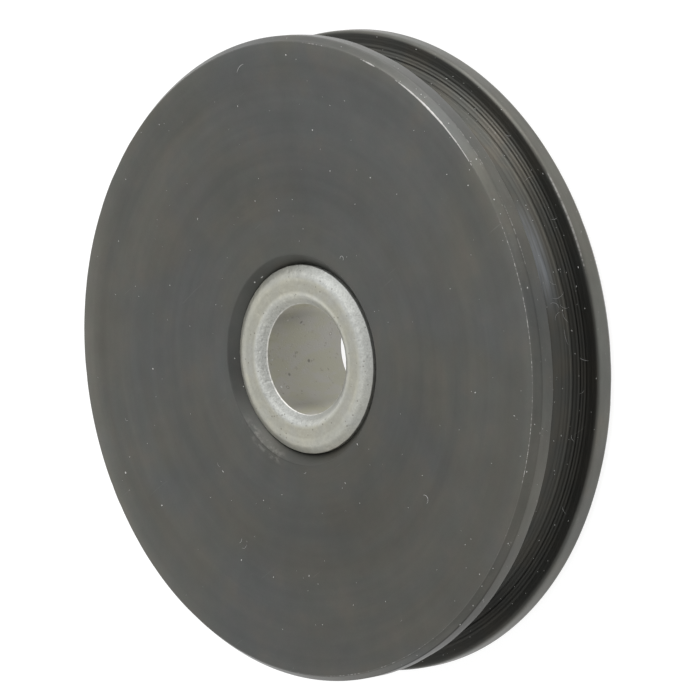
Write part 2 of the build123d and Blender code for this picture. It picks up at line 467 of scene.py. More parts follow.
# ---- node helpers -----------------------------------------------------------
class Nodes:
    def __init__(self, name):
        self.mat = bpy.data.materials.new(name)
        self.mat.use_nodes = True
        self.t = self.mat.node_tree
        self.t.nodes.clear()
        self.out = self.t.nodes.new("ShaderNodeOutputMaterial")
        self.bsdf = self.t.nodes.new("ShaderNodeBsdfPrincipled")
        self.t.links.new(self.bsdf.outputs[0], self.out.inputs[0])
        tc = self.t.nodes.new("ShaderNodeTexCoord")
        sc = self.t.nodes.new("ShaderNodeVectorMath"); sc.operation = "SCALE"; sc.inputs[3].default_value = 1000.0
        self.t.links.new(tc.outputs["Object"], sc.inputs[0])
        self.p = sc.outputs[0]                     # position in mm
        sep = self.t.nodes.new("ShaderNodeSeparateXYZ"); self.t.links.new(self.p, sep.inputs[0])
        self.x, self.y, self.z = sep.outputs
        self.r = self.m("SQRT", self.m("ADD", self.m("MULTIPLY", self.x, self.x), self.m("MULTIPLY", self.y, self.y)))
        self.cx = self.m("DIVIDE", self.x, self.r); self.cy = self.m("DIVIDE", self.y, self.r)
        self.T = self.m("ARCTAN2", self.m("MULTIPLY", self.y, -1.0), self.x)      # -pi..pi, 0 at +X, growing towards -Y
        self.turn = self.m("FRACT", self.m("ADD", self.m("DIVIDE", self.T, 2 * pi), 1.0))   # 0..1 round the turn

    def put(self, sock, v):
        if isinstance(v, (int, float)):
            sock.default_value = v
        elif isinstance(v, (tuple, list)):
            sock.default_value = v if len(v) != 3 or sock.type != "RGBA" else (*v, 1.0)
        else:
            self.t.links.new(v, sock)

    def m(self, op, a, b=None, c=None, clamp=False):
        n = self.t.nodes.new("ShaderNodeMath"); n.operation = op; n.use_clamp = clamp
        self.put(n.inputs[0], a)
        if b is not None: self.put(n.inputs[1], b)
        if c is not None: self.put(n.inputs[2], c)
        return n.outputs[0]

    def vec(self, x, y, z):
        n = self.t.nodes.new("ShaderNodeCombineXYZ")
        for s, v in zip(n.inputs, (x, y, z)): self.put(s, v)
        return n.outputs[0]

    def noise(self, vector, scale, detail=2.0, rough=0.5, dist=0.0):
        n = self.t.nodes.new("ShaderNodeTexNoise")
        self.put(n.inputs["Vector"], vector)
        n.inputs["Scale"].default_value = scale
        n.inputs["Detail"].default_value = detail
        n.inputs["Roughness"].default_value = rough
        n.inputs["Distortion"].default_value = dist
        return n.outputs["Fac"]

    def voronoi(self, vector, scale, feature="F1", rand=1.0):
        n = self.t.nodes.new("ShaderNodeTexVoronoi"); n.feature = feature
        self.put(n.inputs["Vector"], vector)
        n.inputs["Scale"].default_value = scale
        n.inputs["Randomness"].default_value = rand
        return n.outputs["Distance"], n.outputs["Color"]

    def band(self, v, lo, hi, a=0.0, b=1.0, smooth=True):
        """a below lo, b above hi, smooth between."""
        n = self.t.nodes.new("ShaderNodeMapRange"); n.interpolation_type = "SMOOTHSTEP" if smooth else "LINEAR"
        self.put(n.inputs[0], v)
        n.inputs[1].default_value = lo; n.inputs[2].default_value = hi
        n.inputs[3].default_value = a; n.inputs[4].default_value = b
        return n.outputs[0]

    def ramp(self, v, stops, interp="LINEAR"):
        n = self.t.nodes.new("ShaderNodeValToRGB"); n.color_ramp.interpolation = interp
        cr = n.color_ramp
        while len(cr.elements) > 1: cr.elements.remove(cr.elements[-1])
        for i, (p, c) in enumerate(stops):
            e = cr.elements[0] if i == 0 else cr.elements.new(p)
            e.position = p
            c = (c, c, c) if isinstance(c, (int, float)) else c
            e.color = (*c, 1.0)
        self.put(n.inputs[0], v)
        return n.outputs[0]

    def mix(self, f, a, b, mode="MIX"):
        n = self.t.nodes.new("ShaderNodeMix"); n.data_type = "RGBA"; n.blend_type = mode
        self.put(n.inputs[0], f); self.put(n.inputs[6], a); self.put(n.inputs[7], b)
        return n.outputs[2]

    def lerp(self, f, a, b):
        n = self.t.nodes.new("ShaderNodeMix"); n.data_type = "FLOAT"
        self.put(n.inputs[0], f); self.put(n.inputs[2], a); self.put(n.inputs[3], b)
        return n.outputs[0]

    def bump(self, height, dist_mm, strength=1.0, normal=None):
        n = self.t.nodes.new("ShaderNodeBump")
        n.inputs["Strength"].default_value = strength
        n.inputs["Distance"].default_value = dist_mm * MM
        self.put(n.inputs["Height"], height)
        if normal is not None: self.put(n.inputs["Normal"], normal)
        return n.outputs[0]

    def set(self, name, v):
        self.put(self.bsdf.inputs[name], v)


# ---- blackened, oiled, turned steel ---------------------------------------------
def turn_of(T):
    return (T % 360) / 360.0


def blackened():
    n = Nodes("blackened_steel")
    m = n.m
    z, r = n.z, n.r
    ring_v = n.vec(m("MULTIPLY", n.cx, 1.3), m("MULTIPLY", n.cy, 1.3), r)      # varies along the radius, slowly round the turn
    rim_v = n.vec(m("MULTIPLY", n.cx, 2.5), m("MULTIPLY", n.cy, 2.5), m("ADD", z, r))
    round_v = n.vec(m("MULTIPLY", n.cx, 45.0), m("MULTIPLY", n.cy, 45.0), 0.0)  # mm along the rim
    # painted highlight on the lips: where this ramp is high the groove's darker tone stops short, so the lips read
    # lighter on the side the light strikes
    lip_highlight_reach = n.ramp(n.turn, [(turn_of(T), v) for T, v in [(0, 0.5), (15, 1.0), (50, 1.0), (61, 0.12), (92, 0.12), (107, 0.45), (130, 0.65), (145, 0.15), (359, 0.5)]])
    in_groove = m("MULTIPLY", n.lerp(lip_highlight_reach, n.band(r, 45.80, 45.98, 1.0, 0.0), n.band(r, 45.48, 45.84, 1.0, 0.0)), m("MULTIPLY", n.band(z, -4.85, -4.65), n.band(z, 4.60, 4.72, 1.0, 0.0)))
    in_groove = m("MULTIPLY", in_groove, n.band(r, 38.0, 39.0))
    # oxide tone: soft clouds of olive, brown and blue grey over a dark grey
    cloud_a = n.noise(n.p, 0.045, 2.0, 0.5, 0.4)
    cloud_b = n.noise(n.vec(m("MULTIPLY", n.cx, 2.0), m("MULTIPLY", n.cy, 2.0), m("MULTIPLY", r, 0.22)), 1.0, 2.0, 0.5)
    cloud_c = n.noise(n.p, 0.16, 3.0, 0.55)
    rings_soft = n.noise(ring_v, 0.55, 2.0, 0.6)
    base = n.mix(n.band(cloud_b, 0.35, 0.65), (0.086, 0.0880, 0.0805), (0.0925, 0.0910, 0.0795))
    base = n.mix(n.band(cloud_a, 0.45, 0.66, 0.0, 0.55), base, (0.081, 0.0855, 0.0870))
    base = n.mix(n.band(cloud_c, 0.52, 0.75, 0.0, 0.45), base, (0.0965, 0.0880, 0.0750))
    # broad turned bands of the flat face
    bands = n.ramp(m("DIVIDE", r, 46.0), [(0.30, 0.50), (0.42, 0.52), (0.53, 0.46), (0.61, 0.49), (0.68, 0.475), (0.76, 0.57), (0.84, 0.52), (0.90, 0.50), (0.95, 0.55), (0.98, 0.60)], "B_SPLINE")
    side = n.noise(n.vec(m("MULTIPLY", n.cx, 0.8), m("MULTIPLY", n.cy, 0.8), m("MULTIPLY", r, 0.05)), 1.0, 1.0)
    tone = m("MULTIPLY_ADD", m("SUBTRACT", bands, 0.5), m("MULTIPLY_ADD", side, 2.4, 0.1), 1.0)
    # painted light: the face is lighter towards +X, and lighter near the rim between T 205 and 335, as the light falls
    # there
    x2y2 = m("SUBTRACT", m("MULTIPLY", n.cx, n.cx), m("MULTIPLY", n.cy, n.cy))
    face_light_gradient = m("ADD", m("MULTIPLY_ADD", n.cx, 0.06, 1.04), m("ADD", m("MULTIPLY", n.cy, 0.02), m("ADD", m("MULTIPLY", x2y2, -0.04), m("MULTIPLY", m("MULTIPLY", n.cx, n.cy), -0.07))))
    face_rim_light = m("MULTIPLY", n.band(r, 41.0, 45.2), m("MULTIPLY", n.band(n.turn, turn_of(205), turn_of(262)), n.band(n.turn, turn_of(275), turn_of(335), 1.0, 0.0)))
    face_light_gradient = m("MULTIPLY_ADD", face_rim_light, 0.36, face_light_gradient)
    tone = m("MULTIPLY", tone, face_light_gradient)
    tone = m("MULTIPLY", tone, m("MULTIPLY_ADD", m("SUBTRACT", rings_soft, 0.5), 0.24, 1.0))
    tone = m("MULTIPLY", tone, m("MULTIPLY_ADD", m("SUBTRACT", cloud_c, 0.5), 0.27, 1.0))
    mottle = n.noise(n.p, 0.36, 2.0, 0.5)
    tone = m("MULTIPLY", tone, m("MULTIPLY_ADD", m("SUBTRACT", mottle, 0.5), 0.11, 1.0))
    tint = n.noise(n.p, 0.55, 3.0, 0.6)
    base = n.mix(1.0, base, n.mix(n.band(tint, 0.36, 0.64), (1.010, 0.992, 1.0), (0.990, 1.0, 0.996)), "MULTIPLY")
    # fine grain of the finish
    grain_ = n.noise(n.p, 3.2, 2.0, 0.6)
    tone = m("MULTIPLY", tone, m("MULTIPLY_ADD", m("SUBTRACT", grain_, 0.5), 0.10, 1.0))
    col = n.mix(1.0, base, n.vec(tone, tone, tone), "MULTIPLY")
    # groove: a darker tone, with one brown patch and a painted blue grey sheen, which is a reflection painted on its
    # floor
    fine = n.noise(rim_v, 3.2, 3.0, 0.6)
    patchy = n.noise(n.vec(m("MULTIPLY", n.cx, 9.0), m("MULTIPLY", n.cy, 9.0), m("MULTIPLY", z, 0.5)), 1.0, 2.0)
    brown = m("MULTIPLY", n.band(n.turn, turn_of(44), turn_of(50)), n.band(n.turn, turn_of(56), turn_of(63), 1.0, 0.0))
    # painted reflection: where the blue grey sheen lies round the turn
    blue_sheen_turn = m("MULTIPLY", n.band(n.turn, turn_of(62), turn_of(73)), n.band(n.turn, turn_of(78), turn_of(91), 1.0, 0.0))
    phi = m("MULTIPLY", m("ARCTAN2", m("MULTIPLY", z, -1.0), m("SUBTRACT", CB, r)), 180 / pi)     # angle round the half round bottom, in degrees
    gro = n.mix(n.band(patchy, 0.35, 0.65), (0.066, 0.067, 0.061), (0.074, 0.071, 0.061))
    gro = n.mix(m("MULTIPLY", n.band(phi, 76.0, 60.0), m("MULTIPLY", brown, n.band(patchy, 0.40, 0.58, 0.15, 0.55))), gro, (0.090, 0.081, 0.068))
    streaks = n.noise(n.vec(m("MULTIPLY", n.cx, 7.0), m("MULTIPLY", n.cy, 7.0), m("MULTIPLY", phi, 0.22)), 1.0, 3.0, 0.55)
    gro = n.mix(m("MULTIPLY", n.band(phi, 43.0, 24.0), m("MULTIPLY", blue_sheen_turn, n.band(streaks, 0.36, 0.66, 0.95, 0.45))), gro, (0.156, 0.165, 0.175))
    # painted light: the groove's tone is lighter and darker round the turn as the light falls there
    groove_light_by_turn = [(0, 1.0), (30, 1.08), (40, 1.5), (50, 1.7), (60, 1.55), (70, 1.35), (78, 1.25), (88, 1.05), (130, 0.95), (143, 0.80), (152, 0.50), (172, 0.70), (359, 1.0)]
    groove_light_by_turn = m("MULTIPLY", n.ramp(n.turn, [(turn_of(T), v * 0.5) for T, v in groove_light_by_turn]), 2.0)
    groove_light_by_turn = n.lerp(n.band(phi, 82.0, 66.0), 0.86, groove_light_by_turn)
    # tool rings: painted shade and painted highlight, thin darker and lighter rings whose strength changes round the
    # turn as the light falls
    low_rings = [(0, 1.0), (12.5, 1.0), (14.0, 0.90), (15.8, 1.0), (20.0, 1.08), (25.0, 1.05), (28.4, 1.0), (29.8, 0.80), (31.2, 1.0), (33.0, 1.12), (35.6, 1.0), (37.0, 0.82),
                 (38.9, 1.10), (40.0, 1.0), (41.4, 0.78), (43.0, 1.02), (45.5, 1.42), (47.1, 1.05), (48.8, 0.50), (50.4, 0.95), (52.2, 1.10), (54.0, 1.0), (55.2, 0.92), (56.6, 1.0)]
    high_rings = [(56.6, 1.0), (59.1, 1.30), (60.6, 1.05), (62.3, 0.46), (63.9, 1.0), (65.2, 1.28), (66.7, 1.0), (67.9, 0.90), (69.0, 1.0), (70.6, 1.18), (72.3, 1.0), (73.8, 0.66), (75.4, 1.0),
                  (77.4, 1.28), (79.2, 1.0), (81.2, 0.84), (83.5, 1.0)]
    ring_light_low = n.ramp(n.turn, [(turn_of(T), v) for T, v in [(0, 0.45), (25, 0.20), (44, 0.32), (58, 0.85), (68, 1.0), (78, 1.0), (88, 0.65), (120, 0.55), (180, 0.45), (359, 0.45)]])
    ring_light_high = n.ramp(n.turn, [(turn_of(T), v) for T, v in [(0, 0.7), (25, 1.0), (58, 1.0), (70, 0.85), (84, 0.60), (120, 0.60), (180, 0.55), (359, 0.7)]])
    lo_l = m("MULTIPLY", n.ramp(m("DIVIDE", phi, 90.0), [(a / 90.0, v * 0.5) for a, v in low_rings]), 2.0)
    hi_l = m("MULTIPLY", n.ramp(m("DIVIDE", phi, 90.0), [(a / 90.0, v * 0.5) for a, v in high_rings]), 2.0)
    wander = m("MULTIPLY_ADD", n.noise(n.vec(m("MULTIPLY", n.cx, 5.0), m("MULTIPLY", n.cy, 5.0), m("MULTIPLY", phi, 0.10)), 1.0, 2.0), 1.1, 0.45)
    ring_shade_and_highlight = m("MULTIPLY", n.lerp(m("MULTIPLY", ring_light_low, wander), 1.0, lo_l), n.lerp(m("MULTIPLY", ring_light_high, wander), 1.0, hi_l))
    groove_upper_light = n.ramp(n.turn, [(turn_of(T), v) for T, v in [(0, 0.85), (20, 1.0), (50, 1.0), (57, 0.90), (65, 0.66), (75, 0.54), (88, 0.50), (107, 0.66), (130, 0.78), (160, 0.80), (359, 0.85)]])
    groove_light_by_turn = m("MULTIPLY", m("MULTIPLY", groove_light_by_turn, ring_shade_and_highlight), n.lerp(n.band(phi, 49.2, 52.0), 1.0, n.lerp(n.band(phi, 79.5, 83.0), groove_upper_light, m("SQRT", groove_upper_light))))
    gtone = m("MULTIPLY", groove_light_by_turn, m("MULTIPLY_ADD", m("SUBTRACT", fine, 0.5), 0.45, 1.0))
    gro = n.mix(1.0, gro, n.vec(gtone, gtone, gtone), "MULTIPLY")
    col = n.mix(in_groove, col, gro)
    # worn face edge: bright steel, strong on one side, dotted elsewhere
    along = n.noise(round_v, 1.35, 3.0, 0.65)
    dotty = n.noise(round_v, 2.5, 2.0, 0.6)
    wear = [(0, 0.16), (10, 0.20), (13, 0.40), (18, 0.38), (21, 0.06), (26, 0.08), (27.3, 0.72), (29.3, 0.70), (30.5, 0.12), (32.5, 0.30), (35.5, 0.25), (37, 0.72), (42, 0.80), (44, 1.0), (46, 0.95),
            (52, 0.70), (58, 0.48), (61, 0.16), (66, 0.16), (70, 0.30), (76, 0.42), (96, 0.42), (100, 0.24), (107, 0.42), (117, 0.40), (120, 0.05), (127, 0.24), (136, 0.10), (158, 0.28), (181, 0.34), (200, 0.22), (359, 0.16)]
    strength = n.ramp(n.turn, [(turn_of(T), v) for T, v in wear])
    d = m("SQRT", m("ADD", m("POWER", m("SUBTRACT", r, 45.15), 2.0), m("POWER", m("SUBTRACT", z, 7.90), 2.0)))
    dots = n.band(m("MULTIPLY_ADD", m("SUBTRACT", strength, 0.5), 0.55, m("MULTIPLY_ADD", dotty, 0.7, m("MULTIPLY", along, 0.3))), 0.42, 0.54, 0.12, 1.0)
    half = m("MULTIPLY", m("MULTIPLY_ADD", m("MULTIPLY", strength, strength), 0.125, 0.034), m("MULTIPLY_ADD", along, 1.2, 0.4))
    worn = m("MULTIPLY", n.band(m("SUBTRACT", half, d), -0.02, 0.04), m("MULTIPLY", dots, n.ramp(strength, [(0.0, 0.55), (0.6, 0.75), (1.0, 1.0)])))
    # the bevel's lower edge is rubbed too, over a shorter stretch
    low = [(0, 0.10), (48, 0.12), (52, 0.42), (60, 0.34), (63, 0.15), (67, 0.42), (77, 0.50), (82, 0.12), (120, 0.16), (200, 0.10), (359, 0.10)]
    strength2 = n.ramp(n.turn, [(turn_of(T), v) for T, v in low])
    along2 = n.noise(n.vec(m("MULTIPLY", n.cx, 45.0), m("MULTIPLY", n.cy, 45.0), 40.0), 1.1, 3.0, 0.65)
    d3 = m("SQRT", m("ADD", m("POWER", m("SUBTRACT", r, 46.03), 2.0), m("POWER", m("SUBTRACT", z, 6.74), 2.0)))
    worn3 = m("MULTIPLY", n.band(m("SUBTRACT", m("MULTIPLY", strength2, 0.20), d3), -0.03, 0.06), n.band(m("MULTIPLY_ADD", m("SUBTRACT", strength2, 0.5), 0.5, m("MULTIPLY_ADD", dotty, 0.5, m("MULTIPLY", along2, 0.5))), 0.38, 0.60, 0.0, 0.30))
    # painted highlight along the back lip of the groove, on the side the light strikes
    lip = [(0, 0.20), (60, 0.25), (65, 0.60), (78, 0.58), (84, 0.18), (160, 0.14), (359, 0.2)]
    back_lip_highlight_strength = n.ramp(n.turn, [(turn_of(T), v) for T, v in lip])
    d4 = m("SQRT", m("ADD", m("POWER", m("SUBTRACT", r, 45.86), 2.0), m("POWER", m("ADD", z, 4.73), 2.0)))
    back_lip_highlight = m("MULTIPLY", n.band(m("SUBTRACT", m("MULTIPLY", back_lip_highlight_strength, 0.24), d4), -0.05, 0.06), n.band(m("MULTIPLY_ADD", m("SUBTRACT", back_lip_highlight_strength, 0.5), 0.9, along), 0.30, 0.70, 0.0, 0.34))
    # small scuffs on bevel and lands
    scuff = n.noise(n.vec(m("MULTIPLY", n.cx, 46.0), m("MULTIPLY", n.cy, 46.0), m("MULTIPLY", z, 1.6)), 1.2, 4.0, 0.7)
    rim_zone = m("MULTIPLY", n.band(r, 45.30, 45.45), n.band(m("ABSOLUTE", z), 4.7, 5.0))
    scuffed = m("MULTIPLY", rim_zone, n.band(scuff, 0.64, 0.80, 0.0, 0.45))
    # back face edge wears all the way round
    d2 = m("SQRT", m("ADD", m("POWER", m("SUBTRACT", r, 45.27), 2.0), m("POWER", m("ADD", z, 7.90), 2.0)))
    worn2 = n.band(m("SUBTRACT", m("MULTIPLY_ADD", m("SUBTRACT", along, 0.5), 0.7, 0.10), d2), -0.015, 0.035)
    # bare steel from wear, together with the painted highlight on the back lip
    bare = m("MAXIMUM", m("MAXIMUM", worn, scuffed), m("MAXIMUM", worn2, m("MAXIMUM", worn3, back_lip_highlight)))
    # painted light on the lands and the bevel: lighter and darker round the rim as the light falls there, over a random
    # drift of tone
    land_tone_and_light = m("MULTIPLY_ADD", m("SUBTRACT", n.noise(n.vec(m("MULTIPLY", n.cx, 6.0), m("MULTIPLY", n.cy, 6.0), m("MULTIPLY", z, 0.5)), 1.0, 4.0, 0.65), 0.5), 0.5, 1.0)
    land_light_ramp = [(0, 1.05), (30, 1.14), (45, 1.08), (60, 0.96), (75, 0.83), (90, 0.68), (105, 0.84), (120, 0.98), (135, 0.77), (150, 0.42), (165, 0.50), (180, 0.72), (359, 1.0)]
    land_light_ramp = m("MULTIPLY", n.ramp(n.turn, [(turn_of(T), v * 0.5) for T, v in land_light_ramp]), 2.0)
    land_light_ramp = n.lerp(n.band(z, -1.0, 1.0), 1.2, land_light_ramp)
    bevel_light_ramp = n.ramp(n.turn, [(turn_of(T), v * 0.5) for T, v in [(0, 0.9), (30, 0.86), (45, 1.03), (60, 0.97), (75, 1.10), (84, 0.93), (90, 0.91), (120, 1.0), (359, 0.95)]])
    land_tone_and_light = n.lerp(n.band(r, 45.3, 45.5), 1.0, m("MULTIPLY", land_tone_and_light, n.lerp(n.band(r, 45.85, 45.98), m("MULTIPLY", bevel_light_ramp, 2.0), land_light_ramp)))
    col = n.mix(1.0, col, n.vec(land_tone_and_light, land_tone_and_light, land_tone_and_light), "MULTIPLY")
    # lighter, scuffed crescent on the recess wall round the bushing, on the side the light strikes: scuffs plus a
    # painted highlight
    recess_scuff_and_highlight = m("MULTIPLY", n.band(r, 14.2, 14.6), n.band(r, 15.6, 16.3, 1.0, 0.0))
    recess_scuff_and_highlight = m("MULTIPLY", recess_scuff_and_highlight, m("MULTIPLY", n.band(n.turn, 0.555, 0.59), n.band(n.turn, 0.64, 0.69, 1.0, 0.0)))
    recess_scuff_and_highlight = m("MULTIPLY", recess_scuff_and_highlight, n.band(n.noise(n.vec(m("MULTIPLY", n.cx, 14.0), m("MULTIPLY", n.cy, 14.0), m("MULTIPLY", r, 1.6)), 1.0, 3.0, 0.6), 0.44, 0.66, 0.0, 0.27))
    recess_scuff_and_highlight = m("MULTIPLY", recess_scuff_and_highlight, n.band(z, 5.9, 6.3))
    col = n.mix(recess_scuff_and_highlight, col, (0.30, 0.29, 0.27))
    # fine scratches across the faces
    sv = n.vec(m("MULTIPLY_ADD", n.x, 0.9, m("MULTIPLY", n.y, 0.42)), m("MULTIPLY", n.y, 0.05), m("MULTIPLY", n.z, 0.2))
    scr = n.band(n.noise(sv, 2.6, 1.0, 0.5, 0.6), 0.748, 0.79)
    scr = m("MULTIPLY", scr, n.band(n.noise(n.p, 0.09, 1.0), 0.50, 0.62))
    col = n.mix(m("MULTIPLY", scr, 0.16), col, (0.26, 0.26, 0.25))
    # painted shade: the seat's mouth is darkened, most between T 205 and 270
    mouth = m("MULTIPLY", n.band(r, 15.0, 15.3, 1.0, 0.0), n.band(m("ABSOLUTE", z), 6.2, 6.4))
    mouth_shade_by_turn = n.ramp(n.turn, [(turn_of(T), v) for T, v in [(0, 0.05), (60, 0.12), (150, 0.10), (185, 0.10), (205, 0.34), (240, 0.26), (270, 0.38), (300, 0.16), (359, 0.05)]])
    mouth_shade = m("SUBTRACT", 1.0, m("MULTIPLY", mouth, mouth_shade_by_turn))
    col = n.mix(1.0, col, n.vec(mouth_shade, mouth_shade, mouth_shade), "MULTIPLY")
    col = n.mix(bare, col, (0.60, 0.59, 0.57))
    n.set("Base Color", col)
    n.bsdf.inputs["Metallic"].default_value = 0.82
    rough = m("MULTIPLY_ADD", m("SUBTRACT", cloud_c, 0.5), 0.10, 0.39)
    rough = m("ADD", rough, m("MULTIPLY", m("SUBTRACT", rings_soft, 0.5), 0.08))
    rough = n.lerp(in_groove, rough, m("MULTIPLY_ADD", m("SUBTRACT", fine, 0.5), 0.2, 0.56))
    rough = n.lerp(bare, rough, 0.36)
    n.set("Roughness", rough)
    # turning marks, finish grain and worn edge relief
    turned = n.noise(n.vec(m("MULTIPLY", n.cx, 0.6), m("MULTIPLY", n.cy, 0.6), m("ADD", r, m("MULTIPLY", z, 0.8))), 7.0, 2.0, 0.6)
    b1 = n.bump(turned, 0.010, 0.55)
    b2 = n.bump(n.noise(n.p, 5.5, 3.0, 0.6), 0.012, 0.5, b1)
    b3 = n.bump(bare, 0.02, 0.6, b2)
    n.set("Normal", b3)
    return n.mat


# ---- bare, finely pitted bushing metal -------------------------------------------
def bush_metal():
    n = Nodes("bushing_metal")
    m = n.m
    z, r = n.z, n.r
    cloud = n.noise(n.p, 0.35, 3.0, 0.55)
    streak = n.noise(n.vec(m("MULTIPLY", n.cx, 5.0), m("MULTIPLY", n.cy, 5.0), m("MULTIPLY", m("ADD", r, z), 1.0)), 2.2, 3.0, 0.6)
    base = n.mix(n.band(cloud, 0.38, 0.64), (0.336, 0.334, 0.290), (0.352, 0.345, 0.290))
    base = n.mix(n.band(n.noise(n.p, 0.22, 2.0), 0.50, 0.70, 0.0, 0.6), base, (0.338, 0.340, 0.318))
    tone = m("MULTIPLY", m("MULTIPLY_ADD", m("SUBTRACT", streak, 0.5), 0.20, 1.0), m("MULTIPLY_ADD", m("SUBTRACT", n.noise(n.p, 2.6, 4.0, 0.7), 0.5), 0.34, 1.0))
    # two rubbed, brighter rings stand either side of a duller middle
    inner = m("MULTIPLY", n.band(r, 8.55, 8.95), n.band(r, 9.5, 10.0, 1.3, 0.0))
    outer = m("MULTIPLY", n.band(r, 11.0, 11.5), n.band(r, 12.2, 12.9, 1.0, 0.0))
    rub = m("MULTIPLY", m("ADD", inner, outer), m("MULTIPLY_ADD", cloud, 0.30, 0.0))
    tone = m("MULTIPLY", tone, m("ADD", rub, 1.0))
    # painted light: the bell and the outer bevel are lighter and darker round the turn as the light falls there
    bush_bell_light = n.ramp(n.turn, [(turn_of(T), v * 0.5) for T, v in [(0, 1.25), (30, 1.34), (55, 1.22), (75, 1.0), (120, 1.0), (150, 1.22), (180, 1.02), (215, 0.84), (240, 0.84), (265, 0.98), (300, 1.14), (330, 1.18), (359, 1.25)]])
    tone = m("MULTIPLY", tone, n.lerp(n.band(r, 9.9, 9.3), 1.0, m("MULTIPLY", bush_bell_light, 2.0)))
    bush_bevel_light = n.ramp(n.turn, [(turn_of(T), v * 0.5) for T, v in [(0, 0.90), (30, 1.06), (60, 1.0), (85, 1.04), (120, 1.12), (150, 1.14), (180, 1.16), (200, 1.06), (230, 0.92), (270, 0.92), (300, 0.86), (330, 1.0), (359, 0.90)]])
    tone = m("MULTIPLY", tone, n.lerp(n.band(r, 11.6, 12.4), 1.0, m("MULTIPLY", bush_bevel_light, 2.0)))
    # painted glints: a fine grain with strong contrast only where the bevel and the bell catch the light
    glint_grain = n.noise(n.p, 4.0, 3.0, 0.65)
    glint_bevel_turns = m("MULTIPLY", n.band(r, 11.5, 12.3), n.ramp(n.turn, [(turn_of(T), v) for T, v in [(0, 0.35), (25, 0.9), (60, 1.0), (95, 0.8), (130, 0.45), (200, 0.3), (280, 0.3), (359, 0.35)]]))
    glint_bell_turns = m("MULTIPLY", n.band(r, 9.8, 9.2), n.ramp(n.turn, [(turn_of(T), v) for T, v in [(0, 0.4), (60, 0.2), (150, 0.2), (195, 0.9), (240, 0.8), (290, 1.0), (340, 0.6), (359, 0.4)]]))
    tone = m("MULTIPLY", tone, m("MULTIPLY_ADD", m("SUBTRACT", glint_grain, 0.5), m("MULTIPLY", m("MAXIMUM", glint_bevel_turns, glint_bell_turns), 0.95), 1.0))
    # painted highlight: a cooler tint where the bevel and the bell catch the light
    highlight_tint = m("MAXIMUM", m("MULTIPLY", n.band(r, 11.3, 12.0), n.ramp(n.turn, [(turn_of(T), v) for T, v in [(0, 0.5), (30, 1.0), (90, 0.9), (150, 0.3), (200, 0.1), (320, 0.1), (359, 0.5)]])),
             m("MULTIPLY", n.band(r, 9.9, 9.2), n.ramp(n.turn, [(turn_of(T), v) for T, v in [(0, 0.3), (90, 0.3), (160, 0.6), (200, 1.0), (300, 0.8), (359, 0.3)]])))
    base = n.mix(highlight_tint, base, (0.338, 0.345, 0.330))
    col = n.mix(1.0, base, n.vec(tone, tone, tone), "MULTIPLY")
    # grime in pits
    pd, pc = n.voronoi(n.p, 1.5)
    sep = n.t.nodes.new("ShaderNodeSeparateColor"); n.t.links.new(pc, sep.inputs[0])
    few = n.band(sep.outputs[0], 0.70, 0.74)
    pit = m("MULTIPLY", n.band(pd, 0.10, 0.26, 1.0, 0.0), few)
    rough_side = m("MULTIPLY", n.band(n.turn, 0.62, 0.74), n.band(n.turn, 0.93, 1.0, 1.0, 0.2))
    pd2, pc2 = n.voronoi(n.p, 3.2)
    pit2 = m("MULTIPLY", n.band(pd2, 0.12, 0.34, 1.0, 0.0), m("MULTIPLY", n.band(r, 8.4, 9.0, 1.0, 0.0), m("MULTIPLY_ADD", rough_side, 0.75, 0.12)))
    pits = m("MAXIMUM", m("MULTIPLY", pit, 0.55), m("MULTIPLY", pit2, 0.5))
    col = n.mix(pits, col, (0.13, 0.12, 0.10))
    # the bore is duller, with oily patches
    in_bore = m("MULTIPLY", n.band(r, 7.98, 8.02, 1.0, 0.0), n.band(z, 6.74, 6.80, 1.0, 0.0))
    patch = n.noise(n.vec(m("MULTIPLY", n.cx, 4.0), m("MULTIPLY", n.cy, 4.0), m("MULTIPLY", z, 0.30)), 0.9, 3.0, 0.55)
    bore_c = n.mix(n.band(patch, 0.38, 0.62), (0.345, 0.336, 0.312), (0.336, 0.330, 0.272))
    bore_c = n.mix(n.band(n.noise(n.p, 1.1, 3.0, 0.6), 0.62, 0.72, 0.0, 0.5), bore_c, (0.18, 0.172, 0.145))
    bore_side_light = n.band(m("ABSOLUTE", n.cx), 0.78, 1.0, 1.09, 2.0)          # painted light: the two sides that the light grazes are painted up to twice as bright
    bore_side_light = m("MULTIPLY", bore_side_light, n.lerp(n.band(z, 3.0, 6.5), 0.97, 1.0))
    bore_c = n.mix(1.0, bore_c, n.vec(bore_side_light, bore_side_light, bore_side_light), "MULTIPLY")
    bd, bc = n.voronoi(n.p, 0.55)
    bsep = n.t.nodes.new("ShaderNodeSeparateColor"); n.t.links.new(bc, bsep.inputs[0])
    speck = m("MULTIPLY", n.band(bd, 0.06, 0.20, 1.0, 0.0), n.band(bsep.outputs[0], 0.72, 0.76))
    bore_c = n.mix(m("MULTIPLY", speck, 0.8), bore_c, (0.115, 0.11, 0.095))
    speck2 = m("MULTIPLY", n.band(bd, 0.04, 0.12, 1.0, 0.0), n.band(bsep.outputs[1], 0.80, 0.84))
    bore_c = n.mix(m("MULTIPLY", speck2, 0.7), bore_c, (0.62, 0.61, 0.58))
    col = n.mix(in_bore, col, bore_c)
